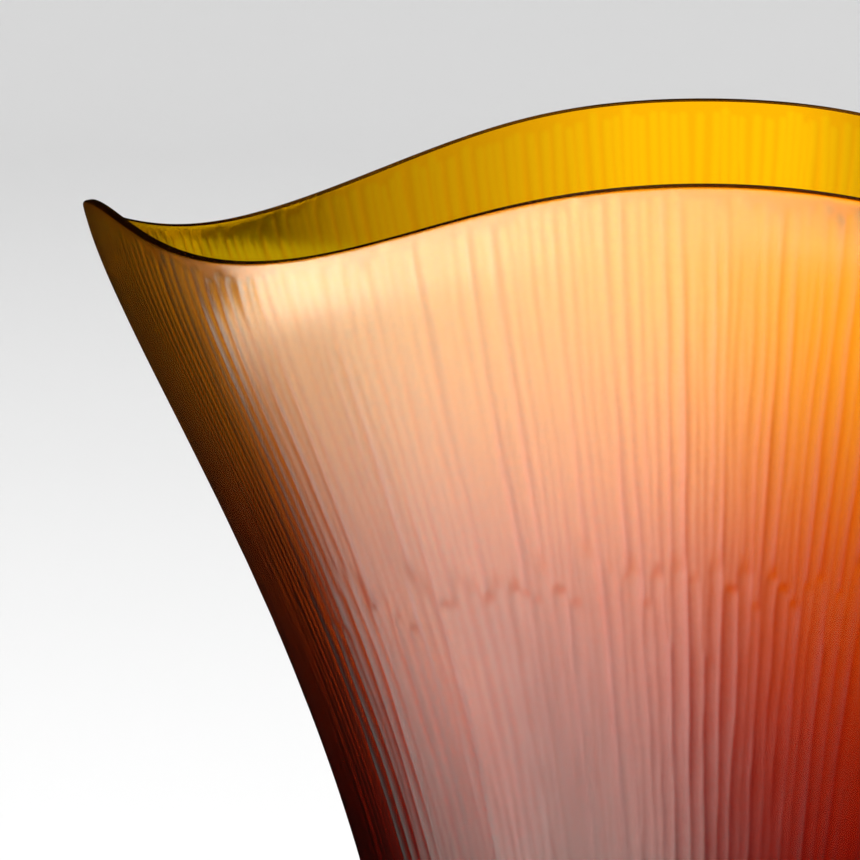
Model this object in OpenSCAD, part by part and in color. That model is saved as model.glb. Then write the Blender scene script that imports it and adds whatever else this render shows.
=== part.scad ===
// Hand blown and cold cut art glass vase: a flared trumpet body with a four-pointed wavy lip.
// Frame: millimetres, +Z up, origin at the centre of the ground foot, where the vase stands.
// The lip's low side points lie on the X axis and its high crests on the Y axis.

/* [Body] */
// Mean height of the lip above the surface that the vase stands on
lip_h = 338; // [300:1:380]
// Mean radius of the lip, measured on the outer face
lip_r = 160; // [140:1:175]
// Outer radius of the body where it leaves the foot
foot_r = 77; // [70:1:84]
// How far the waist draws in above the foot, as the pull on the side's curve
waist_pull = 21; // [10:1:26]
// Height of the solid foot under the blown body
foot_h = 12; // [8:1:18]

/* [Lip wave] */
// Rise of the front and back crests over the side points
crest_rise = 9; // [0:0.2:12]
// Height of the four-lobed wave
lobe_rise = 7.5; // [0:0.2:10]
// Sharpness of the four points, as a fold in the wave
point_fold = 0.8; // [0:0.1:1.5]
// Slower three-lobed wave that makes front and back differ
sway_rise = 3.9; // [0:0.1:5]
// Quicker five-lobed ripple that makes front and back differ
ripple_rise = 2.6; // [0:0.2:4]
// How much further the lip reaches at the sides than at front and back
lip_oval = 1.5; // [0:0.1:6]
// How far the plan of the lip is drawn out to soft corners
lip_corner = 1.1; // [0:0.1:2]

/* [Wall] */
// Thickness of the whole wall at the lip
lip_wall = 2.8; // [2.4:0.1:3.6]
// Thickness of the whole wall just above the foot
foot_wall = 6.6; // [5.6:0.1:8]
// Thickness of the amber lining at the lip
lining_lip_wall = 1.0; // [0.8:0.1:1.2]
// Thickness of the amber lining at the foot
lining_foot_wall = 1.6; // [1.2:0.1:2]
// Thickest part of the ruby overlay, just above the foot
ruby_wall = 2.4; // [1.6:0.1:2.8]
// Rings of the wall, out of 17, up to where the ruby overlay feathers out to nothing
ruby_rings = 15; // [12:1:16]

/* [Floor] */
// Thickness of the casing's floor on top of the foot
casing_floor = 4; // [3:0.5:6]
// Thickness of the ruby overlay's floor
ruby_floor = 8; // [5:0.5:10]
// Thickness of the lining's floor
lining_floor = 4; // [3:0.5:6]
// Rounding where the floor of the well turns up into the wall
well_round = 24; // [16:1:30]

/* [Foot] */
// Inner radius of the ground ring that the vase stands on
ring_r = 55; // [44:1:62]
// Height of the recess inside the ground ring
recess_h = 1.2; // [0.6:0.1:2]
// Rounding of the foot's lower edge
foot_edge = 2.5; // [1:0.5:4]
// Radius of the pontil seal, the ground remains of the punty
pontil_r = 17; // [12:1:24]
// Depth to which the pontil seal sinks into the foot
pontil_depth = 3; // [2:0.5:5]
// Depth of the polished hollow in the middle of the pontil seal
hollow_depth = 1; // [0.5:0.1:1.5]

/* [Hidden] */

segments = 64; // corners in each ring of the body
wall_rings = 17; // rings up the wall
floor_rings = 5; // rings across the floor and round its corner
round_fn = 128;
wave_fade = 2; // power of the height with which the lip's wave dies away downwards
ruby_taper = 1.2; // power with which the ruby overlay thins out upwards
wall_taper = 0.7; // power with which the whole wall thins out upwards
corner_share = 3; // the floor's corner shifts the rings in the lowest third of the wall only
seal_rim = 3; // width of the flat rim round the hollow in the pontil seal

amber = "#e0a015";
ruby = "#8c1a10";
casing_tint = "#e8b080";
dark_ruby = "#4a0c0c";
clear_glass = "#d8d0c8";

// The outer meridian is one cubic curve from the foot to the lip.
foot_point = [foot_r, foot_h];
waist_handle = [foot_r - waist_pull, (foot_h + lip_h) / 2];
flare_handle = [lip_r - 9, lip_h - 46];
lip_point = [lip_r, lip_h];

function meridian(t) =
    pow(1 - t, 3) * foot_point
    + 3 * pow(1 - t, 2) * t * waist_handle
    + 3 * (1 - t) * t * t * flare_handle
    + pow(t, 3) * lip_point;

function meridian_slope(t) =
    3 * pow(1 - t, 2) * (waist_handle - foot_point)
    + 6 * (1 - t) * t * (flare_handle - waist_handle)
    + 3 * t * t * (lip_point - flare_handle);

// Unit normal of the meridian, pointing into the wall.
function inward(t) =
    let (s = meridian_slope(t))
    [-s[1], s[0]] / norm(s);

function height_share(t) = (meridian(t)[1] - foot_h) / (lip_h - foot_h);
function mix(a, b, share) = a + (b - a) * share;

// Thicknesses of the three gathers at a height, given as a share of the body's height.
ruby_top = height_share(ruby_rings / wall_rings);
function lining_at(share) = mix(lining_foot_wall, lining_lip_wall, share);
function ruby_at(share) = ruby_wall * pow(max(0, 1 - share / ruby_top), ruby_taper);
function wall_at(share) = mix(foot_wall, lip_wall, pow(share, wall_taper));

// The faces are numbered from outside: 0 the cut face, 1 casing to ruby, 2 ruby to lining, 3 the well.
function depth(face, share) =
    face == 0 ? 0
    : face == 1 ? wall_at(share) - lining_at(share) - ruby_at(share)
    : face == 2 ? wall_at(share) - lining_at(share)
    : wall_at(share);

function wall_point(face, t) = meridian(t) + inward(t) * depth(face, height_share(t));

function floor_z(face) =
    foot_h
    + (face > 0 ? casing_floor : 0)
    + (face > 1 ? ruby_floor : 0)
    + (face > 2 ? lining_floor : 0);

// Place on the meridian at which a face's wall starts, above the turn out of its floor.
function first_t(face) = face == 0 ? 0 : (floor_z(face) + well_round - foot_h) / meridian_slope(0)[1];

// Place on the meridian of a ring of the wall. Above the lowest third it is the same on every face.
function ring_t(face, i) =
    let (x = i / wall_rings)
    x + first_t(face) * max(0, 1 - corner_share * x);

// Rings of a flat floor, as [radius, height, share of the wave].
function flat_floor(face) = [for (i = [1 : floor_rings])
    [foot_r * i / (floor_rings + 1), floor_z(face), 0]];

// Rings of a quarter turn from the floor up into the wall.
function turned_floor(face) =
    let (start = wall_point(face, first_t(face)), turn_h = start[1] - floor_z(face))
    [for (i = [0 : floor_rings - 1])
        let (a = 90 * i / floor_rings)
        [start[0] - well_round * (1 - sin(a)), start[1] - turn_h * cos(a), 0]];

function wall(face, last) = [for (i = [0 : last])
    let (t = ring_t(face, i), p = wall_point(face, t))
    [p[0], p[1], pow(height_share(t), wave_fade)]];

// A face from the axis outwards and up to a ring of the wall.
function face_rings(face, last = wall_rings) = concat(
    [[0, floor_z(face), 0]],
    face == 0 ? flat_floor(face) : turned_floor(face),
    wall(face, last)
);

// The lip's wave, by azimuth.
function rise(a) =
    -crest_rise * cos(2 * a) + lobe_rise * cos(4 * a) - point_fold * cos(8 * a)
    - sway_rise * sin(3 * a) - ripple_rise * sin(5 * a);

function reach(a) =
    lip_oval * cos(2 * a) - 1.3 * lip_corner * cos(4 * a) - lip_corner * cos(6 * a)
    + lip_corner * cos(8 * a);

function ring(p) = [for (i = [0 : segments - 1])
    let (a = 360 * i / segments, r = p[0] + p[2] * reach(a))
    [r * cos(a), r * sin(a), p[1] + p[2] * rise(a)]];

// Two triangles across each gap between two rings, split the same way on every face.
function band(low, high, flip) = [for (i = [0 : segments - 1])
    let (j = (i + 1) % segments, a = low + i, b = low + j, c = high + j, d = high + i)
    each flip ? [[a, b, c], [a, c, d]] : [[a, c, b], [a, d, c]]];

function fan(centre, first, flip) = [for (i = [0 : segments - 1])
    let (j = (i + 1) % segments)
    flip ? [centre, first + j, first + i] : [centre, first + i, first + j]];

// A closed cup between two faces with the same number of rings. With a feathered edge, the last
// ring of both faces is one ring.
module cup(outer, inner, feathered = false) {
    rings = len(outer) - 1;
    inner_rings = feathered ? rings - 1 : rings;
    outer_first = 1;
    outer_last = outer_first + (rings - 1) * segments;
    inner_centre = outer_last + segments;
    inner_first = inner_centre + 1;
    inner_last = inner_first + (inner_rings - 1) * segments;
    points = concat(
        [[0, 0, outer[0][1]]],
        [for (k = [1 : rings]) each ring(outer[k])],
        [[0, 0, inner[0][1]]],
        [for (k = [1 : inner_rings]) each ring(inner[k])]
    );
    faces = concat(
        fan(0, outer_first, false),
        [for (first = [outer_first : segments : outer_last - 1])
            each band(first, first + segments, false)],
        band(inner_last, outer_last, true),
        [for (first = [inner_first : segments : inner_last - 1])
            each band(first, first + segments, true)],
        fan(inner_centre, inner_first, true)
    );
    polyhedron(points, faces, convexity = 6);
}

module amber_lining() {
    color(amber) cup(face_rings(2), face_rings(3));
}

module ruby_overlay() {
    color(ruby) cup(face_rings(1, ruby_rings), face_rings(2, ruby_rings), feathered = true);
}

module cut_casing() {
    color(casing_tint) cup(face_rings(0), face_rings(1));
}

module foot_bit() {
    color(dark_ruby) difference() {
        rotate_extrude($fn = round_fn) union() {
            square([foot_r - foot_edge, foot_h]);
            translate([0, foot_edge]) square([foot_r, foot_h - foot_edge]);
            translate([foot_r - foot_edge, foot_edge]) circle(r = foot_edge, $fn = 48);
        }
        translate([0, 0, -1]) cylinder(h = 1 + recess_h, r = ring_r, $fn = round_fn);
        cylinder(h = recess_h + pontil_depth, r = pontil_r, $fn = round_fn);
    }
}

// The hollow is the cap of a sphere.
module pontil_seal() {
    hollow_r = pontil_r - seal_rim;
    ball_r = (hollow_r * hollow_r + hollow_depth * hollow_depth) / (2 * hollow_depth);
    color(clear_glass) difference() {
        translate([0, 0, recess_h]) cylinder(h = pontil_depth, r = pontil_r, $fn = round_fn);
        translate([0, 0, recess_h + hollow_depth - ball_r]) sphere(r = ball_r, $fn = round_fn);
    }
}

amber_lining();
ruby_overlay();
cut_casing();
foot_bit();
pontil_seal();
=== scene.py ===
"""Hand blown and cold cut art glass vase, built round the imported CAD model.

Metres, +Z up, origin at the centre of the ground foot. The vase is one body: an amber lining, a ruby
overlay and a fluted satin casing, fused over each other on a solid foot with a ground pontil seal.
"""
import math

import bpy
import numpy as np
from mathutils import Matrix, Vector


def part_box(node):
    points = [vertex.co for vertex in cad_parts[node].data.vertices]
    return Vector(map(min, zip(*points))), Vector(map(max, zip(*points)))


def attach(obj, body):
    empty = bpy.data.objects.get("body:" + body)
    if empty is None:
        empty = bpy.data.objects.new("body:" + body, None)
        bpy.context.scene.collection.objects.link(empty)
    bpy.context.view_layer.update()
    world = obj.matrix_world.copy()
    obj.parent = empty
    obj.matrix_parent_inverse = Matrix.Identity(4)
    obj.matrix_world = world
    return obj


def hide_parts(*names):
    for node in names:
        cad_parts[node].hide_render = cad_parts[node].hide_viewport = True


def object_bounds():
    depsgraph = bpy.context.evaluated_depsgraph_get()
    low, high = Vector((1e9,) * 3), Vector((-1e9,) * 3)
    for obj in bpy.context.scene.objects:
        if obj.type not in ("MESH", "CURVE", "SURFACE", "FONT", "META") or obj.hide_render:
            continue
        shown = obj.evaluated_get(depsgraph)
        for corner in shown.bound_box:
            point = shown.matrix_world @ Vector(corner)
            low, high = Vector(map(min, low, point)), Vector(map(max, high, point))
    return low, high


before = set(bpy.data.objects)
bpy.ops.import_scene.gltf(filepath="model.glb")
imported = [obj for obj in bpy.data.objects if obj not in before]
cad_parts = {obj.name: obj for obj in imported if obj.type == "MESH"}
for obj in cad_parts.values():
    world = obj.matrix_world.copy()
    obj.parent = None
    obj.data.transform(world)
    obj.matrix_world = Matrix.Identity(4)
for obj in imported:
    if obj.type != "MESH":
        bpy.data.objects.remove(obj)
cad_low, cad_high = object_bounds()
MM = 0.001

# ---------------------------------------------------------------- the body's form, as in the CAD
_, foot_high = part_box("foot_bit")
seal_low, seal_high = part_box("pontil_seal")
FOOT_R, FOOT_H = foot_high.x, foot_high.z
SEAL_R, RECESS_H, SEAL_TOP = seal_high.x, seal_low.z, seal_high.z
LIP_H, LIP_R = 338 * MM, 160 * MM
WAIST_PULL = 21 * MM
FLARE_IN, FLARE_DOWN = 9 * MM, 46 * MM
LIP_WALL, FOOT_WALL, WALL_TAPER = 2.8 * MM, 6.6 * MM, 0.7
LINING_LIP, LINING_FOOT = 1.0 * MM, 1.6 * MM
RUBY_WALL, RUBY_TAPER = 2.4 * MM, 1.2
RUBY_TOP_T = 15 / 17
CASING_FLOOR, RUBY_FLOOR, LINING_FLOOR = 4 * MM, 8 * MM, 4 * MM
WELL_ROUND = 24 * MM
RING_R, FOOT_EDGE = 55 * MM, 2.5 * MM
HOLLOW_DEPTH, SEAL_RIM = 1 * MM, 3 * MM
# The faces inside the wall, from the outside in.
CASING_TO_RUBY, RUBY_TO_LINING, WELL = 1, 2, 3
# The lip's wave: metres of height and of reach for each number of lobes round the lip.
RISE_COS = {2: -9 * MM, 4: 7.5 * MM, 8: -0.8 * MM}
RISE_SIN = {3: -3.9 * MM, 5: -2.6 * MM}
REACH_COS = {2: 1.5 * MM, 4: -1.43 * MM, 6: -1.1 * MM, 8: 1.1 * MM}

MERIDIAN = np.array([
    [FOOT_R, FOOT_H],
    [FOOT_R - WAIST_PULL, (FOOT_H + LIP_H) / 2],
    [LIP_R - FLARE_IN, LIP_H - FLARE_DOWN],
    [LIP_R, LIP_H],
])


def meridian(t):
    """Radius and height of the uncut outer face at places t from 0, the foot, to 1, the lip."""
    t = np.asarray(t, float)[:, None]
    a, b, c, d = MERIDIAN
    return (1 - t) ** 3 * a + 3 * (1 - t) ** 2 * t * b + 3 * (1 - t) * t ** 2 * c + t ** 3 * d


def inward(t):
    """Unit normal of the outer face at places t, pointing into the wall."""
    t = np.asarray(t, float)[:, None]
    a, b, c, d = MERIDIAN
    slope = 3 * (1 - t) ** 2 * (b - a) + 6 * (1 - t) * t * (c - b) + 3 * t ** 2 * (d - c)
    normal = np.stack([-slope[:, 1], slope[:, 0]], 1)
    return normal / np.linalg.norm(normal, axis=1)[:, None]


def height_share(t):
    """Height at places t of the meridian, from 0 at the foot's top to 1 at the lip."""
    return (meridian(t)[:, 1] - FOOT_H) / (LIP_H - FOOT_H)


def lining_at(share):
    return LINING_FOOT + (LINING_LIP - LINING_FOOT) * share


def ruby_at(share):
    top = height_share([RUBY_TOP_T])[0]
    return RUBY_WALL * np.maximum(0, 1 - share / top) ** RUBY_TAPER


def wall_at(share):
    return FOOT_WALL + (LIP_WALL - FOOT_WALL) * np.maximum(share, 0) ** WALL_TAPER


def depth_of(face, share):
    """Depth of one of the faces inside the wall, under the outer face."""
    whole = wall_at(share)
    if face == CASING_TO_RUBY:
        return whole - lining_at(share) - ruby_at(share)
    if face == RUBY_TO_LINING:
        return whole - lining_at(share)
    return whole


def floor_z(face):
    """Height of the middle of a face inside the wall."""
    return FOOT_H + sum((CASING_FLOOR, RUBY_FLOOR, LINING_FLOOR)[:face])


def wave(azimuth):
    """How far the lip rises and reaches out at each azimuth."""
    rise = sum(k * np.cos(n * azimuth) for n, k in RISE_COS.items())
    rise = rise + sum(k * np.sin(n * azimuth) for n, k in RISE_SIN.items())
    return rise, sum(k * np.cos(n * azimuth) for n, k in REACH_COS.items())


def rings(t, azimuth, depth):
    """Points of rings at places t of the meridian, depth metres under the outer face."""
    outer, normal = meridian(t), inward(t)
    fade = np.maximum(height_share(t), 0)[:, None] ** 2
    rise, reach = wave(azimuth)
    depth = np.broadcast_to(depth, (len(outer), len(azimuth)))
    radius = outer[:, :1] + normal[:, :1] * depth + fade * reach
    height = outer[:, 1:] + normal[:, 1:] * depth + fade * rise
    return np.stack([radius * np.cos(azimuth), radius * np.sin(azimuth), height], -1)


def disc_rings(radii, heights, azimuth):
    """Points of plain round rings, each with its own radius and height."""
    radii, heights = np.asarray(radii)[:, None], np.asarray(heights)[:, None]
    return np.stack(
        [radii * np.cos(azimuth), radii * np.sin(azimuth), heights + 0 * azimuth], -1)


# ---------------------------------------------------------------- meshes
class Skin:
    """Gathers rings and the faces between them into one closed mesh."""

    def __init__(self):
        self.points, self.faces, self.slots, self.left, self.count = [], [], [], [], 0

    def add(self, points, left=None):
        """Adds points, and how much skin is left at each, and returns the first one's number."""
        points = np.asarray(points, float).reshape(-1, 3)
        first = self.count
        self.points.append(points)
        self.left.append(np.ones(len(points)) if left is None else left.reshape(-1))
        self.count += len(points)
        return first

    def ring_block(self, grid, slot, left=None):
        """Adds a stack of rings, listed so that their faces look outwards when going up.

        left is how much of the coloured skin the wheel left at each point."""
        levels, around = grid.shape[:2]
        first = self.add(grid, left)
        index = first + np.arange(levels * around).reshape(levels, around)
        for low, high in zip(index[:-1], index[1:]):
            self.band(low, high, slot)
        return index[0], index[-1]

    def band(self, low, high, slot):
        """Faces between two rings; one may have a whole number of times the other's corners."""
        if len(low) == len(high):
            quads = np.stack([low, np.roll(low, -1), np.roll(high, -1), high], 1)
            self.faces.extend(quads.tolist())
            self.slots.extend([slot] * len(quads))
            return
        fine, coarse, up = (low, high, True) if len(low) > len(high) else (high, low, False)
        step = len(fine) // len(coarse)
        for k, corner in enumerate(coarse):
            arc = [fine[(k * step + i) % len(fine)] for i in range(step + 1)]
            nxt = coarse[(k + 1) % len(coarse)]
            face = arc + [nxt, corner] if up else [corner, nxt] + arc[::-1]
            self.faces.append([int(i) for i in face])
            self.slots.append(slot)

    def cap(self, ring, centre, slot, upward):
        """Closes a ring with triangles round its centre, looking up or down."""
        middle = self.add([centre])
        for a, b in zip(ring, np.roll(ring, -1)):
            self.faces.append([int(a), int(b), middle] if upward else [int(b), int(a), middle])
            self.slots.append(slot)

    def build(self, name, materials, replaced):
        """Makes the mesh a piece of the visual model, standing for a CAD node."""
        mesh = bpy.data.meshes.new(name)
        mesh.from_pydata(np.concatenate(self.points).tolist(), [], self.faces)
        for material in materials:
            mesh.materials.append(material)
        mesh.polygons.foreach_set("material_index", np.array(self.slots, np.int32))
        mesh.polygons.foreach_set("use_smooth", np.ones(len(self.faces), bool))
        left = mesh.attributes.new("skin_left", "FLOAT", "POINT")
        left.data.foreach_set("value", np.concatenate(self.left).astype(np.float32))
        mesh.update()
        mesh.validate()
        piece = bpy.data.objects.new(name, mesh)
        bpy.context.scene.collection.objects.link(piece)
        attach(piece, "root")
        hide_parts(replaced)


def around(count):
    """Azimuths of a ring's corners."""
    return np.arange(count) * (2 * math.pi / count)


# ---------------------------------------------------------------- the wheel's flutes
# Radius of each flute's hollow across, by height: wide at the lip and low down, tighter in between.
HOLLOW_Z = np.array([0.12, 0.2, 0.26, 0.3, 0.34])
HOLLOW_R = np.array([16, 13.5, 12.5, 14, 18]) * MM
WHEEL_R = 11 * MM  # the wheel's own radius, which rounds the flutes' ends
# Each row's top and bottom height, mean distance between flutes at its top, and depth.
ROWS = [(338 * MM, 230 * MM, 3.2 * MM, 0.16 * MM),
        (248 * MM, 128 * MM, 3.5 * MM, 0.28 * MM),
        (140 * MM, 12 * MM, 3.4 * MM, 0.32 * MM)]
# Least and most width and depth of a flute, as shares of its row's.
WIDTHS, DEPTHS = (0.55, 1.45), (0.8, 1.1)
# A flute wanders sideways by shares of the mean width, and its depth ripples by shares of itself. Each
# does so slowly and quickly: a slow wave is WAVES metres long, and a quick one a share of that.
WAVES = (0.05, 0.13)
SLOW_WANDER, QUICK_WANDER, QUICK_WANDER_WAVE = 0.10, 0.045, 0.45
SLOW_RIPPLE, QUICK_RIPPLE, QUICK_RIPPLE_WAVE = 0.10, 0.05, 0.3
TOP_SPREAD, BOTTOM_SPREAD = 5 * MM, 3 * MM  # how unevenly a row's flutes start and end
# How far below the lip the first row starts to run out, and how unevenly.
LIP_DROP, LIP_SPREAD = 4.6 * MM, 0.9 * MM
ROW_REACH = 16 * MM  # a row cuts nothing further than this past its top or bottom
FINE_AROUND = 1920  # corners in each ring of the cut face
MOST_LEFT = 1.2  # skin left between two flutes, where 1 is a sharp edge between two of mean width
SEED = 11


class CutRow:
    """One row of flutes side by side round the body, each with its own place, depth and ends."""

    def __init__(self, top, bottom, pitch, deep, rng):
        self.top, self.bottom = top, bottom
        profile = meridian(np.linspace(0, 1, 200))
        top_r = np.interp(top, profile[:, 1], profile[:, 0])
        count = int(round(2 * math.pi * top_r / pitch))
        self.step = 2 * math.pi / count
        centres = np.cumsum(rng.uniform(*WIDTHS, count))
        self.centre = centres / centres[-1] * 2 * math.pi
        self.deep = deep * rng.uniform(*DEPTHS, count)
        self.end = rng.normal(0, 1, count)
        self.phase = rng.uniform(0, 2 * math.pi, (count, 4))
        self.length = rng.uniform(*WAVES, (count, 4))

    def sway(self, z, number, shorter=1.0):
        """Each flute's place, from -1 to 1, on one of its four waves at a height."""
        return np.sin(2 * math.pi * z / (self.length[:, number] * shorter) + self.phase[:, number])

    def middle(self, z):
        """Each flute's azimuth at a height: it wanders a little, as a hand-held cut does."""
        wander = self.sway(z, 0) * SLOW_WANDER + self.sway(z, 1, QUICK_WANDER_WAVE) * QUICK_WANDER
        return self.centre + self.step * wander

    def depth(self, z, top):
        """Each flute's depth at a height, run out at its ends by the wheel's round, and in full."""
        ripple = SLOW_RIPPLE * self.sway(z, 2) + QUICK_RIPPLE * self.sway(z, 3, QUICK_RIPPLE_WAVE)
        over = np.maximum(0, z - top)
        under = np.maximum(0, self.bottom + BOTTOM_SPREAD * self.end - z)
        full = self.deep * (1 + ripple)
        return full - (over ** 2 + under ** 2) / (2 * WHEEL_R), full


rng = np.random.default_rng(SEED)
cut_rows = [CutRow(*row, rng) for row in ROWS]


def flute_depth(t, azimuth):
    """Depth of the cut face under the blown face and how much skin is left, for rings at places t."""
    outer = meridian(t)
    depth = np.zeros((len(outer), len(azimuth)))
    left = np.full(depth.shape, MOST_LEFT)
    for row, (radius, height) in enumerate(outer):
        hollow = np.interp(height, HOLLOW_Z, HOLLOW_R)
        for cut in cut_rows:
            if height > cut.top + ROW_REACH or height < cut.bottom - ROW_REACH:
                continue
            top = cut.top + TOP_SPREAD * cut.end
            if cut is cut_rows[0]:
                top = LIP_H - LIP_DROP + LIP_SPREAD * cut.end
            middles = cut.middle(height)
            order = np.argsort(middles)
            deep, full = cut.depth(height, top)
            middles, deep, full = middles[order], deep[order], full[order]
            half = cut.step * radius / 2
            near = np.searchsorted(middles, azimuth)
            for offset in range(-3, 3):
                k = (near + offset) % len(middles)
                away = np.abs(azimuth - middles[k])
                away = np.minimum(away, 2 * math.pi - away) * radius
                cut_here = deep[k] - away ** 2 / (2 * hollow)
                uncut = np.minimum((full[k] - cut_here) * 2 * hollow / half ** 2, MOST_LEFT)
                left[row] = np.where(cut_here > depth[row], uncut, left[row])
                depth[row] = np.maximum(depth[row], cut_here)
    return depth, left


# ---------------------------------------------------------------- materials
def material(name):
    """A new material, its nodes and links, and its Principled shader."""
    made = bpy.data.materials.new(name)
    made.use_nodes = True
    nodes = made.node_tree.nodes
    return made, nodes, made.node_tree.links, nodes["Principled BSDF"]


def height_colour(nodes, links, stops):
    """Colour by height over the foot; stops are (height in metres, colour)."""
    place = nodes.new("ShaderNodeTexCoord")
    split = nodes.new("ShaderNodeSeparateXYZ")
    links.new(place.outputs["Object"], split.inputs[0])
    ramp = nodes.new("ShaderNodeValToRGB")
    scale = nodes.new("ShaderNodeMath")
    scale.operation = "DIVIDE"
    scale.inputs[1].default_value = cad_high.z
    links.new(split.outputs["Z"], scale.inputs[0])
    links.new(scale.outputs[0], ramp.inputs[0])
    ramp.color_ramp.interpolation = "B_SPLINE"
    elements = ramp.color_ramp.elements
    while len(elements) < len(stops):
        elements.new(0.5)
    for element, (height, colour) in zip(elements, stops):
        element.position = height / cad_high.z
        element.color = (*colour, 1)
    return place, ramp.outputs["Color"]


def noise(nodes, links, place, scale, stretch=(1, 1, 1), detail=3):
    """Soft noise over the surface, drawn out along an axis where stretch is small."""
    mapping = nodes.new("ShaderNodeMapping")
    mapping.inputs["Scale"].default_value = stretch
    links.new(place.outputs["Object"], mapping.inputs["Vector"])
    grain = nodes.new("ShaderNodeTexNoise")
    grain.inputs["Scale"].default_value = scale
    grain.inputs["Detail"].default_value = detail
    links.new(mapping.outputs[0], grain.inputs["Vector"])
    return grain.outputs["Fac"]


def ranged(nodes, links, value, low, high):
    """A value from 0 to 1, spread from low to high."""
    spread = nodes.new("ShaderNodeMapRange")
    spread.inputs["To Min"].default_value = low
    spread.inputs["To Max"].default_value = high
    links.new(value, spread.inputs["Value"])
    return spread.outputs["Result"]


def bump(nodes, links, shader, value, distance, strength):
    relief = nodes.new("ShaderNodeBump")
    relief.inputs["Distance"].default_value = distance
    relief.inputs["Strength"].default_value = strength
    links.new(value, relief.inputs["Height"])
    links.new(relief.outputs[0], shader.inputs["Normal"])


GLASS_IOR = 1.5
FUSED_IOR = 1.0  # no bend and no glint where one gather is fused to the next
LIP_IOR = 1.15  # a weak glint, so that the ground lip stays dark
AMBER, CLEAR = (0.97, 0.74, 0.006), (1, 1, 1)
SKIN_THIN, SKIN_THICK = 0.8, 1.42  # thickness of the coloured skin in a flute and between two


def glass(shader, ior=GLASS_IOR, weight=1):
    """Makes the shader see-through glass, by a share from 0 to 1."""
    shader.inputs["Transmission Weight"].default_value = weight
    shader.inputs["IOR"].default_value = ior


def two_tones(nodes, links, shader, value, dark, pale):
    """Base colour that runs from dark to pale with a value from 0 to 1."""
    tone = nodes.new("ShaderNodeValToRGB")
    tone.color_ramp.elements[0].color = (*dark, 1)
    tone.color_ramp.elements[1].color = (*pale, 1)
    links.new(value, tone.inputs[0])
    links.new(tone.outputs[0], shader.inputs["Base Color"])


def satin_cut():
    """The cut face: deeper in a flute less of the coloured skin is left, so it is paler there."""
    made, nodes, links, shader = material("satin_cut")
    place, colour = height_colour(nodes, links, [
        (0.0, (0.2, 0.025, 0.02)), (0.06, (0.26, 0.035, 0.03)), (0.12, (0.38, 0.07, 0.05)),
        (0.18, (0.6, 0.137, 0.09)), (0.2, (0.7, 0.19, 0.12)), (0.227, (0.82, 0.29, 0.15)),
        (0.26, (0.85, 0.37, 0.2)), (0.285, (0.86, 0.45, 0.25)), (0.31, (0.93, 0.55, 0.3)),
        (0.335, (0.98, 0.69, 0.36))])
    left = nodes.new("ShaderNodeAttribute")
    left.attribute_name = "skin_left"
    spread = nodes.new("ShaderNodeMapRange")
    spread.inputs["From Max"].default_value = MOST_LEFT
    spread.inputs["To Min"].default_value = SKIN_THIN
    spread.inputs["To Max"].default_value = SKIN_THICK
    links.new(left.outputs["Fac"], spread.inputs["Value"])
    thick = nodes.new("ShaderNodeGamma")
    links.new(colour, thick.inputs["Color"])
    links.new(spread.outputs["Result"], thick.inputs["Gamma"])
    links.new(thick.outputs[0], shader.inputs["Base Color"])
    glass(shader)
    rough = noise(nodes, links, place, 60, (1, 1, 0.1))
    links.new(ranged(nodes, links, rough, 0.17, 0.23), shader.inputs["Roughness"])
    bump(nodes, links, shader, noise(nodes, links, place, 900, (1, 1, 0.12)), 0.00002, 0.15)
    return made


def fused(name, colour, stops=None):
    """The skin of a gather where it is fused to its neighbour, of one colour or one for each height."""
    made, nodes, links, shader = material(name)
    shader.inputs["Base Color"].default_value = (*colour, 1)
    if stops:
        links.new(height_colour(nodes, links, stops)[1], shader.inputs["Base Color"])
    glass(shader, FUSED_IOR)
    shader.inputs["Roughness"].default_value = 0
    return made


def polished_amber():
    """The well's face, smooth and a little wavy as blown glass is."""
    made, nodes, links, shader = material("polished_amber")
    place = nodes.new("ShaderNodeTexCoord")
    shader.inputs["Base Color"].default_value = (*AMBER, 1)
    glass(shader)
    smear = noise(nodes, links, place, 14, (1, 1, 0.4))
    links.new(ranged(nodes, links, smear, 0.01, 0.05), shader.inputs["Roughness"])
    bump(nodes, links, shader, noise(nodes, links, place, 22, (1, 1, 0.3), 1), 0.0006, 0.35)
    return made


def ground_lip():
    """The lip's ground end, which looks nearly black because it lies across the wall's depth."""
    made, nodes, links, shader = material("ground_lip")
    place = nodes.new("ShaderNodeTexCoord")
    patch = noise(nodes, links, place, 45, (1, 1, 1), 2)
    two_tones(nodes, links, shader, patch, (0.004, 0.0015, 0.0005), (0.03, 0.012, 0.002))
    glass(shader, LIP_IOR)
    links.new(ranged(nodes, links, patch, 0.12, 0.24), shader.inputs["Roughness"])
    return made


def dark_foot():
    """The solid foot, so deep in colour that it looks nearly black."""
    made, nodes, links, shader = material("dark_foot")
    place, colour = height_colour(nodes, links, [
        (0.0, (0.10, 0.012, 0.01)), (0.012, (0.16, 0.02, 0.014))])
    links.new(colour, shader.inputs["Base Color"])
    glass(shader, weight=0.8)
    grain = noise(nodes, links, place, 120)
    links.new(ranged(nodes, links, grain, 0.28, 0.36), shader.inputs["Roughness"])
    bump(nodes, links, shader, noise(nodes, links, place, 1200), 0.00002, 0.5)
    return made


def clear_seal():
    """The pontil seal's clear glass, a little streaked."""
    made, nodes, links, shader = material("clear_seal")
    place = nodes.new("ShaderNodeTexCoord")
    swirl = noise(nodes, links, place, 90, (1, 1, 1), 2)
    two_tones(nodes, links, shader, swirl, (0.62, 0.55, 0.5), (0.86, 0.83, 0.78))
    glass(shader)
    links.new(ranged(nodes, links, swirl, 0.02, 0.08), shader.inputs["Roughness"])
    return made


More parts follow.
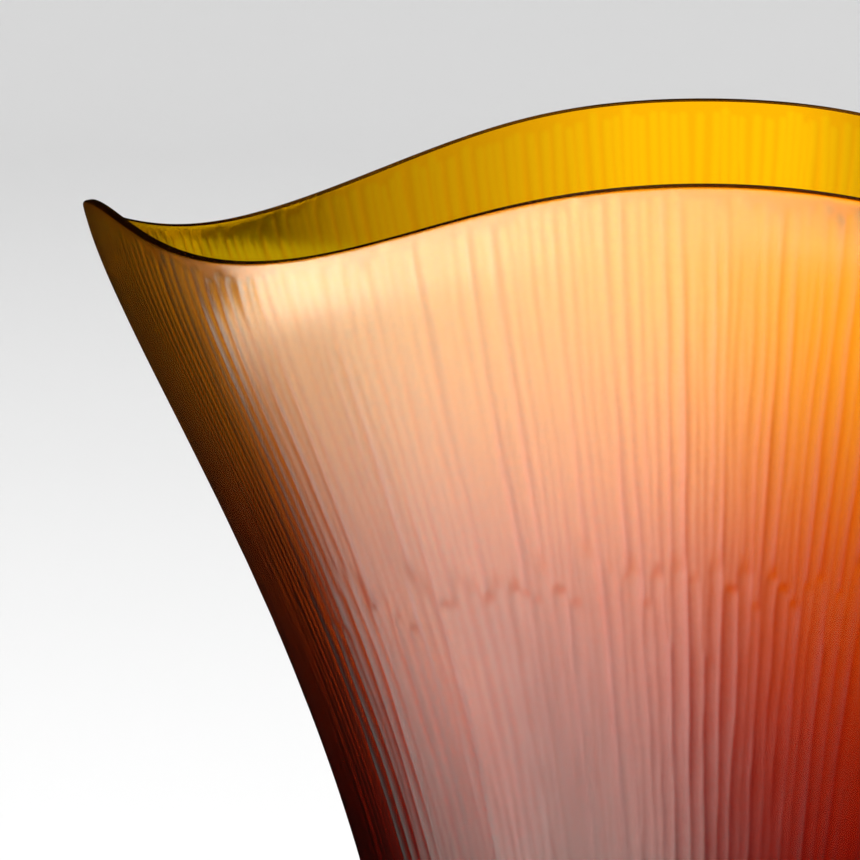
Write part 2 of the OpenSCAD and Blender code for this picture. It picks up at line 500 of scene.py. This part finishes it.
# ---------------------------------------------------------------- the pieces
FUSE_GAP = 0.03 * MM  # keeps fused faces from lying in one another
COARSE_AROUND = 480  # corners in each ring of the other faces, which go evenly into FINE_AROUND
FOOT_AROUND, SEAL_AROUND = 240, 160
LIP_SHOULDER = 0.8 * MM  # rounding of the lip's outer edge
LIP_INSIDE = 1.0 * MM  # rounding of the lip's inner edge
T_PER_METRE = 1 / np.linalg.norm(3 * (MERIDIAN[3] - MERIDIAN[2]))  # places passed per metre at the lip
FIRST_SLOPE = 3 * (MERIDIAN[1] - MERIDIAN[0])[1]  # metres of height per place at the foot
# Heights in millimetres of the casing's rings: first, last and step, finer where flutes end.
CASING_START = [12, 13, 14, 16]
CASING_LEVELS = [(19, 126, 3.0), (126, 150, 1.2), (150, 220, 2.6), (220, 250, 1.0), (250, 324, 2.6),
                 (324, 336.4, 0.7)]
LIP_FLUTES = 0.6  # what is left of a flute's depth at the end of the lip's rounding
SATIN_LIP_RINGS = 3  # rings of the lip's rounding that are still satin and not ground dark
FOOT_TOP_EDGE, RING_BEVEL, SEAL_EDGE = 0.4 * MM, 0.5 * MM, 0.3 * MM


def first_t(face):
    """Place on the meridian where a face inside the wall leaves the round bottom of the well."""
    return (floor_z(face) + WELL_ROUND - FOOT_H) / FIRST_SLOPE


def inner_rings(face, azimuth, gap, top_t=1.0, levels=90, turn=10, centre_rings=5):
    """Rings of an inner face from its floor's middle up to top_t; gap moves it into the wall."""
    start_t = first_t(face)

    def depth(t):
        return (depth_of(face, np.maximum(height_share(t), 0)) + gap)[:, None]

    start = rings([start_t], np.zeros(1), depth([start_t]))[0, 0]
    floor = floor_z(face) + gap
    a = np.linspace(0, math.pi / 2, turn, endpoint=False)
    corner_r = start[0] - WELL_ROUND * (1 - np.sin(a))
    corner_z = start[2] - (start[2] - floor) * np.cos(a)
    flat = corner_r[0] * np.arange(1, centre_rings) / centre_rings
    low = disc_rings(
        np.concatenate([flat, corner_r]), np.concatenate([0 * flat + floor, corner_z]), azimuth)
    t = np.linspace(start_t, top_t, levels)
    return np.concatenate([low, rings(t, azimuth, depth(t))]), floor


def shoulder(radius, steps):
    """Rounded edge: places down the wall from the lip and depths under the face, from low to high."""
    a = np.linspace(0, math.pi / 2, steps)
    return radius * (1 - np.sin(a)), radius * (1 - np.cos(a))


def make_casing():
    satin, fused_face, ground = range(3)
    skin = Skin()
    azimuth, coarse = around(FINE_AROUND), around(COARSE_AROUND)
    places = np.linspace(0, 1, 1000)
    z = np.concatenate([CASING_START] + [np.arange(*levels) for levels in CASING_LEVELS]) * MM
    t = np.interp(z, meridian(places)[:, 1], places)
    t_shoulder = 1 - LIP_SHOULDER * T_PER_METRE
    t = t[t < t_shoulder]
    side, side_left = flute_depth(t, azimuth)
    low, side_high = skin.ring_block(rings(t, azimuth, side), satin, side_left)

    down, deep = shoulder(LIP_SHOULDER, 7)
    t_round = 1 - down * T_PER_METRE
    edge, edge_left = flute_depth(np.minimum(t_round, t_shoulder), azimuth)
    edge = np.maximum(edge * np.linspace(1, LIP_FLUTES, len(t_round))[:, None], deep[:, None])
    rounded = rings(t_round, azimuth, edge)
    edge_low, edge_high = skin.ring_block(rounded[:SATIN_LIP_RINGS], satin, edge_left[:SATIN_LIP_RINGS])
    skin.band(side_high, edge_low, satin)
    ground_low, high = skin.ring_block(rounded[SATIN_LIP_RINGS:], ground)
    skin.band(edge_high, ground_low, ground)

    casing_at_lip = depth_of(CASING_TO_RUBY, np.ones(1))[0] - FUSE_GAP
    lip = rings([1.0, 1.0], coarse, np.array([[casing_at_lip * 0.75], [casing_at_lip]]))
    lip_low, lip_high = skin.ring_block(lip, ground)
    skin.band(high, lip_low, ground)

    inner, floor = inner_rings(CASING_TO_RUBY, coarse, -FUSE_GAP)
    in_first, in_last = skin.ring_block(inner[::-1][1:], fused_face)
    skin.band(lip_high, in_first, fused_face)
    skin.cap(in_last, (0, 0, floor), fused_face, True)

    bottom = FOOT_H + FUSE_GAP
    under = disc_rings(np.array([0.2, 0.5, 0.8, 0.97]) * FOOT_R, np.full(4, bottom), coarse)
    u_low, u_high = skin.ring_block(under, fused_face)
    skin.band(u_high, low, fused_face)
    skin.cap(u_low, (0, 0, bottom), fused_face, False)
    skins = [satin_cut(), fused("casing_fused", CLEAR), ground_lip()]
    skin.build("cut_casing_glass", skins, "cut_casing")


def make_ruby():
    skin = Skin()
    azimuth = around(COARSE_AROUND)
    top = RUBY_TOP_T - 0.002  # just short of where its two faces meet
    outer, outer_floor = inner_rings(CASING_TO_RUBY, azimuth, FUSE_GAP, top)
    inner, inner_floor = inner_rings(RUBY_TO_LINING, azimuth, -FUSE_GAP, top)
    o_low, o_high = skin.ring_block(outer, 0)
    i_low, i_high = skin.ring_block(inner[::-1], 0)
    skin.band(o_high, i_low, 0)
    skin.cap(o_low, (0, 0, outer_floor), 0, False)
    skin.cap(i_high, (0, 0, inner_floor), 0, True)
    ruby = fused("ruby_body", CLEAR, [
        (0.06, (0.18, 0.02, 0.02)), (0.12, (0.37, 0.07, 0.05)), (0.18, (0.59, 0.235, 0.18)),
        (0.2, (0.6, 0.345, 0.27)), (0.227, (0.68, 0.41, 0.35)), (0.26, (0.83, 0.69, 0.6)),
        (0.285, (0.95, 0.92, 0.8)), (0.31, (0.98, 0.96, 0.9)), (0.33, (1, 1, 1))])
    skin.build("ruby_overlay_glass", [ruby], "ruby_overlay")


def make_lining():
    fused_face, polished, ground = range(3)
    skin = Skin()
    azimuth = around(COARSE_AROUND)
    outer, outer_floor = inner_rings(RUBY_TO_LINING, azimuth, FUSE_GAP)
    o_low, o_high = skin.ring_block(outer, fused_face)
    skin.cap(o_low, (0, 0, outer_floor), fused_face, False)

    down, deep = shoulder(LIP_INSIDE, 5)
    t_round = 1 - down[::-1] * T_PER_METRE
    whole = depth_of(WELL, np.ones(1))[0]
    lip = rings(t_round, azimuth, (whole - deep[::-1])[:, None])
    l_low, l_high = skin.ring_block(lip, ground)
    skin.band(o_high, l_low, ground)

    inner, inner_floor = inner_rings(WELL, azimuth, 0, 1 - LIP_INSIDE * T_PER_METRE)
    i_low, i_high = skin.ring_block(inner[::-1][1:], polished)
    skin.band(l_high, i_low, polished)
    skin.cap(i_high, (0, 0, inner_floor), polished, True)
    skins = [fused("amber_fused", AMBER), polished_amber(), ground_lip()]
    skin.build("amber_lining_glass", skins, "amber_lining")


def make_foot():
    skin = Skin()
    azimuth = around(FOOT_AROUND)
    a = np.linspace(0, math.pi / 2, 9)
    edge_r = FOOT_R - FOOT_EDGE + FOOT_EDGE * np.sin(a)
    edge_z = FOOT_EDGE * (1 - np.cos(a))
    side_z = np.linspace(FOOT_EDGE, FOOT_H - FOOT_TOP_EDGE, 6)[1:]
    b = np.linspace(0, math.pi / 2, 5)[1:]
    top_r, top_z = FOOT_R - FOOT_TOP_EDGE * (1 - np.cos(b)), FOOT_H - FOOT_TOP_EDGE * (1 - np.sin(b))
    rim_r = np.array([SEAL_R + FUSE_GAP] * 2 + [RING_R - RING_BEVEL, RING_R, RING_R + RING_BEVEL])
    rim_z = np.array([SEAL_TOP - FUSE_GAP, RECESS_H, RECESS_H, RECESS_H - RING_BEVEL, 0])
    radii = np.concatenate([rim_r, edge_r, 0 * side_z + FOOT_R, top_r, [FOOT_R * 0.8, FOOT_R * 0.4]])
    heights = np.concatenate([rim_z, edge_z, side_z, top_z, [FOOT_H, FOOT_H]])
    low, high = skin.ring_block(disc_rings(radii, heights, azimuth), 0)
    skin.cap(high, (0, 0, FOOT_H), 0, True)
    skin.cap(low, (0, 0, SEAL_TOP + FUSE_GAP), 0, False)
    skin.build("foot_bit_glass", [dark_foot()], "foot_bit")


def make_seal():
    skin = Skin()
    azimuth = around(SEAL_AROUND)
    hollow_r = SEAL_R - SEAL_RIM
    ball_r = (hollow_r ** 2 + HOLLOW_DEPTH ** 2) / (2 * HOLLOW_DEPTH)
    cap_r = hollow_r * np.linspace(0.1, 1, 10)
    cap_z = RECESS_H + HOLLOW_DEPTH - (ball_r - np.sqrt(ball_r ** 2 - cap_r ** 2))
    rim_r, rim_top = SEAL_R - SEAL_EDGE, SEAL_TOP - SEAL_EDGE
    radii = np.concatenate([cap_r, [rim_r, SEAL_R, SEAL_R, rim_r, SEAL_R * 0.5]])
    heights = np.concatenate([cap_z, [RECESS_H, RECESS_H + SEAL_EDGE, rim_top, SEAL_TOP, SEAL_TOP]])
    low, high = skin.ring_block(disc_rings(radii, heights, azimuth), 0)
    skin.cap(high, (0, 0, SEAL_TOP), 0, True)
    skin.cap(low, (0, 0, RECESS_H + HOLLOW_DEPTH), 0, False)
    skin.build("pontil_seal_glass", [clear_seal()], "pontil_seal")


make_casing()
make_ruby()
make_lining()
make_foot()
make_seal()

# ---------------------------------------------------------------- camera
CAMERA_BACK, CAMERA_UP = 1.58, 0.4498
CAMERA_YAW, CAMERA_PITCH = math.radians(2.571), math.radians(6.201)
LENS, SENSOR, FAR_CLIP = 257.5, 36, 100
camera = bpy.data.objects.new("camera", bpy.data.cameras.new("camera"))
bpy.context.scene.collection.objects.link(camera)
camera.location = (0, -CAMERA_BACK, CAMERA_UP)
camera.rotation_euler = (math.pi / 2 - CAMERA_PITCH, 0, CAMERA_YAW)
camera.data.lens = LENS
camera.data.sensor_width = SENSOR
camera.data.clip_end = FAR_CLIP
bpy.context.scene.camera = camera

# ---------------------------------------------------------------- studio
STUDIO_R, SWEEP_R, SWEEP_TOP = 7.0, 1.5, 4.0
FLOOR_DROP = 0.3 * MM  # keeps the floor from lying in the foot's ring
FLOOR_AROUND = 96
# The floor's grey by distance from the vase, in metres: painted light, whose small rises and falls stand
# in for how brightly the lamps light the floor and sweep.
FLOOR_PAINTED_GREYS = [(0.0, 0.85), (0.9, 0.84), (1.7, 0.81), (2.4, 0.80), (3.6, 0.82), (5.5, 0.84), (7.0, 0.81)]


def studio_floor():
    """A pale round floor that sweeps up into a wall all round, with painted light: white near the vase and
    grey far off.
    """
    made, nodes, links, shader = material("studio")
    place = nodes.new("ShaderNodeTexCoord")
    length = nodes.new("ShaderNodeVectorMath")
    length.operation = "LENGTH"
    links.new(place.outputs["Object"], length.inputs[0])
    ramp = nodes.new("ShaderNodeValToRGB")
    spread = nodes.new("ShaderNodeMath")
    spread.operation = "DIVIDE"
    spread.inputs[1].default_value = STUDIO_R
    links.new(length.outputs["Value"], spread.inputs[0])
    links.new(spread.outputs[0], ramp.inputs[0])
    elements = ramp.color_ramp.elements
    while len(elements) < len(FLOOR_PAINTED_GREYS):
        elements.new(0.5)
    # painted light: the grey at each distance stands in for the lamps' falloff over the floor and sweep
    for element, (away, grey) in zip(elements, FLOOR_PAINTED_GREYS):
        element.position, element.color = away / STUDIO_R, (grey, grey, grey, 1)
    links.new(ramp.outputs[0], shader.inputs["Base Color"])
    shader.inputs["Roughness"].default_value = 0.9
    azimuth = around(FLOOR_AROUND)
    a = np.linspace(0, math.pi / 2, 13)
    radii = np.concatenate([[0.5, 1, 2, 3.5], STUDIO_R - SWEEP_R + SWEEP_R * np.sin(a), [STUDIO_R]])
    heights = np.concatenate([[0, 0, 0, 0], SWEEP_R * (1 - np.cos(a)), [SWEEP_TOP]]) - FLOOR_DROP
    grid = disc_rings(radii, heights, azimuth).reshape(-1, 3)
    points = np.concatenate([grid, [[0, 0, -FLOOR_DROP]]])
    index = np.arange(len(grid)).reshape(len(radii), -1)
    faces = []
    for low, high in zip(index[:-1], index[1:]):
        faces += np.stack([high, np.roll(high, -1), np.roll(low, -1), low], 1).tolist()
    faces += [[int(a), int(b), len(grid)] for a, b in zip(index[0], np.roll(index[0], -1))]
    mesh = bpy.data.meshes.new("studio_floor")
    mesh.from_pydata(points.tolist(), [], faces)
    mesh.polygons.foreach_set("use_smooth", np.ones(len(faces), bool))
    mesh.materials.append(made)
    floor = bpy.data.objects.new("studio_floor", mesh)
    bpy.context.scene.collection.objects.link(floor)


def ramped(nodes, links, stops, turned=False):
    """Colour from left to right (stops in metres), or round the vase from its front (stops in radians)."""
    place = nodes.new("ShaderNodeTexCoord")
    split = nodes.new("ShaderNodeSeparateXYZ")
    links.new(place.outputs["Object"], split.inputs[0])
    where = split.outputs["X"]
    if turned:
        front = nodes.new("ShaderNodeMath")
        front.operation = "MULTIPLY"
        front.inputs[1].default_value = -1
        links.new(split.outputs["Y"], front.inputs[0])
        turn = nodes.new("ShaderNodeMath")
        turn.operation = "ARCTAN2"
        links.new(split.outputs["X"], turn.inputs[0])
        links.new(front.outputs[0], turn.inputs[1])
        where = turn.outputs[0]
    spread = nodes.new("ShaderNodeMapRange")
    spread.inputs["From Min"].default_value = stops[0][0]
    spread.inputs["From Max"].default_value = stops[-1][0]
    links.new(where, spread.inputs["Value"])
    ramp = nodes.new("ShaderNodeValToRGB")
    links.new(spread.outputs["Result"], ramp.inputs[0])
    elements = ramp.color_ramp.elements
    while len(elements) < len(stops):
        elements.new(0.5)
    for element, (stop, colour) in zip(elements, stops):
        element.position = (stop - stops[0][0]) / (stops[-1][0] - stops[0][0])
        element.color = (*colour, 1)
    return ramp.outputs["Color"]


def card(name, pairs, colour, strength, stops=None, turned=False, mirrored_only=False):
    """A card by the vase that only the glass sees: light ones light it and dark ones shade it.

    Its outline is a row of pairs of points, one on each side. A card that is mirrored_only isn't seen
    through the glass, only as a reflection on it."""
    made = bpy.data.materials.new(name)
    made.use_nodes = True
    nodes, links = made.node_tree.nodes, made.node_tree.links
    nodes.clear()
    glow = nodes.new("ShaderNodeEmission")
    glow.inputs["Color"].default_value = (*colour, 1)
    glow.inputs["Strength"].default_value = strength
    if stops:
        links.new(ramped(nodes, links, stops, turned), glow.inputs["Color"])
    out = nodes.new("ShaderNodeOutputMaterial")
    links.new(glow.outputs[0], out.inputs["Surface"])
    mesh = bpy.data.meshes.new(name)
    faces = [(k, k + 1, k + 3, k + 2) for k in range(0, len(pairs) - 2, 2)]
    mesh.from_pydata(pairs, [], faces)
    mesh.materials.append(made)
    piece = bpy.data.objects.new(name, mesh)
    bpy.context.scene.collection.objects.link(piece)
    piece.visible_camera = False
    piece.visible_diffuse = False
    piece.visible_shadow = False
    piece.visible_transmission = not mirrored_only


def lying(low, high, height=0.003):
    """Outline of a card lying on the floor."""
    (x0, y0), (x1, y1) = low, high
    return [(x0, y0, height), (x0, y1, height), (x1, y0, height), (x1, y1, height)]


def standing(left, right, top, bottom=0.01):
    """Outline of a card standing on the floor between two places."""
    (x0, y0), (x1, y1) = left, right
    return [(x0, y0, bottom), (x0, y0, top), (x1, y1, bottom), (x1, y1, top)]


def curved(near, far, first, last, height=0.004):
    """Outline of a card lying on the floor in a bow round the vase.

    first and last are in degrees from the vase's front."""
    outline = []
    for a in np.radians(np.linspace(first, last, 31)):
        for r in (near, far):
            outline.append((float(r * np.sin(a)), float(-r * np.cos(a)), height))
    return outline


def softbox(name, place, aim, width, height, watts):
    """A lamp with a soft edge, which the glass doesn't reflect."""
    data = bpy.data.lights.new(name, "AREA")
    data.shape, data.size, data.size_y, data.energy = "RECTANGLE", width, height, watts
    lamp = bpy.data.objects.new(name, data)
    bpy.context.scene.collection.objects.link(lamp)
    lamp.location = place
    lamp.rotation_euler = (Vector(aim) - Vector(place)).to_track_quat("-Z", "Y").to_euler()
    lamp.visible_camera = False
    lamp.visible_glossy = False


VEIL, BLACK, WHITE = (1, 0.925, 0.84), (0, 0, 0), (1, 1, 1)
FLAG_TOP = 4
REFLECTED_ONLY = "flag_back"
DARK_CARDS = [
    ("dark_front", lying((-1.5, -1.5), (0.8, -0.09))),
    ("dark_left", lying((-1.5, -0.09), (-0.1, 0.6))),
    ("dark_right", lying((0.1, -0.09), (0.8, 0.6))),
    ("flag_left", standing((-0.6, -0.09), (-0.6, 1.2), FLAG_TOP)),
    ("flag_far_left", standing((-1.6, -1.6), (-1.6, 1.2), FLAG_TOP)),
    ("flag_front", standing((-1.6, -1.6), (2.5, -1.6), FLAG_TOP)),
    ("flag_back_left", standing((-0.6, 0.2), (-0.2, 0.2), FLAG_TOP)),
    (REFLECTED_ONLY, standing((-0.2, 0.185), (0.15, 0.185), 0.5)),
    ("flag_over", lying((-1.6, -1.6), (2.5, 1.2), 3.95)),
    ("flag_right", standing((0.8, -0.3), (0.8, 1.6), FLAG_TOP)),
    ("flag_far_right", standing((2.5, -1.6), (2.5, 1.2), FLAG_TOP)),
]
# The veil's lights: three bows of bright floor from the left round to the front, nearest first. Each has
# its near and far radius, and its glow at every azimuth of VEIL_AT, in degrees from the vase's front.
VEIL_AT = [-110, -106, -98, -90, -82, -73, -62, -49.5, -36, -22, -7.5, 8.5, 24, 38, 50, 60]
VEIL_BOWS = [(0.13, 0.3, [0, 0, 0, 0, 0, 0, 1.5, 4, 2, 4, 2.1, 0, 0, 0, 0, 0]),
             (0.3, 0.5, [0, 0, 0.6, 1.5, 2.6, 4.2, 4, 7, 7.2, 6.3, 5.6, 2.4, 0.6, 0.1, 0, 0]),
             (0.5, 1.2, [0, 0.1, 2.8, 4.1, 4.8, 8.7, 12.5, 11.6, 9.7, 7.2, 5.7, 4.8, 3.2, 1.4, 0.4, 0])]
BRIGHTEST_GLOW, VEIL_STRENGTH = 12.5, 13.3
# The light behind: two bands of a graded card, with the glow at each x in metres. The upper one is warmer.
BACK_LEFT, BACK_RIGHT, BACK_STRENGTH = (-0.2, 0.19), (0.4, 0.19), 1.5
LOW_BAND_TOP, HIGH_BAND_TOP = 0.31, 0.38
LOW_BAND = [(-0.2, 0.14), (-0.18, 0.17), (-0.14, 0.34), (-0.1, 0.31), (-0.06, 0.5), (-0.02, 0.7),
            (0.025, 1.0), (0.075, 0.94), (0.13, 0.98), (0.28, 1.0), (0.4, 1.0)]
HIGH_BAND = [(-0.2, 0.32), (-0.18, 0.28), (-0.15, 0.1), (-0.13, 0.06), (-0.1, 0.3), (-0.06, 0.49),
             (-0.02, 0.78), (0.025, 0.8), (0.075, 0.23), (0.13, 0), (0.4, 0)]
HIGH_BAND_TINT = (1, 0.78, 0.6)
SIDE_STRENGTH, SKY_STRENGTH = 6.5, 0.9


def tinted(colour, glow):
    return tuple(glow * c for c in colour)


studio_floor()
for name, outline in DARK_CARDS:
    card(name, outline, BLACK, 0, mirrored_only=(name == REFLECTED_ONLY))
for number, (near, far, glows) in enumerate(VEIL_BOWS):
    graded = [(math.radians(angle), tuple(c * glow / BRIGHTEST_GLOW for c in VEIL))
              for angle, glow in zip(VEIL_AT, glows)]
    bow = curved(near, far, VEIL_AT[0], VEIL_AT[-1])
    card("veil_light_%d" % number, bow, VEIL, VEIL_STRENGTH, graded, True)
card("backlight_low", standing(BACK_LEFT, BACK_RIGHT, LOW_BAND_TOP), VEIL, BACK_STRENGTH,
     [(x, tinted(WHITE, glow)) for x, glow in LOW_BAND])
card("backlight_high", standing(BACK_LEFT, BACK_RIGHT, HIGH_BAND_TOP, LOW_BAND_TOP), VEIL, BACK_STRENGTH,
     [(x, tinted(HIGH_BAND_TINT, glow)) for x, glow in HIGH_BAND])
card("side_light", standing((0.45, -0.25), (0.45, 0.3), 0.5), WHITE, SIDE_STRENGTH)
softbox("key", (-1.6, -1.2, 2.2), (0, 0, 0.15), 1.4, 1.4, 20)
softbox("top", (0, 0.8, 3.2), (0, 0.4, 0), 3, 3, 43)

world = bpy.data.worlds.new("world")
bpy.context.scene.world = world
world.use_nodes = True
sky = world.node_tree.nodes["Background"]
sky.inputs["Color"].default_value = (*WHITE, 1)
sky.inputs["Strength"].default_value = SKY_STRENGTH
world.cycles_visibility.glossy = False
world.cycles_visibility.transmission = False

scene = bpy.context.scene
scene.view_settings.view_transform = "Standard"
scene.cycles.use_denoising = True
scene.cycles.max_bounces = 24
scene.cycles.transmission_bounces = 24
scene.cycles.glossy_bounces = 8
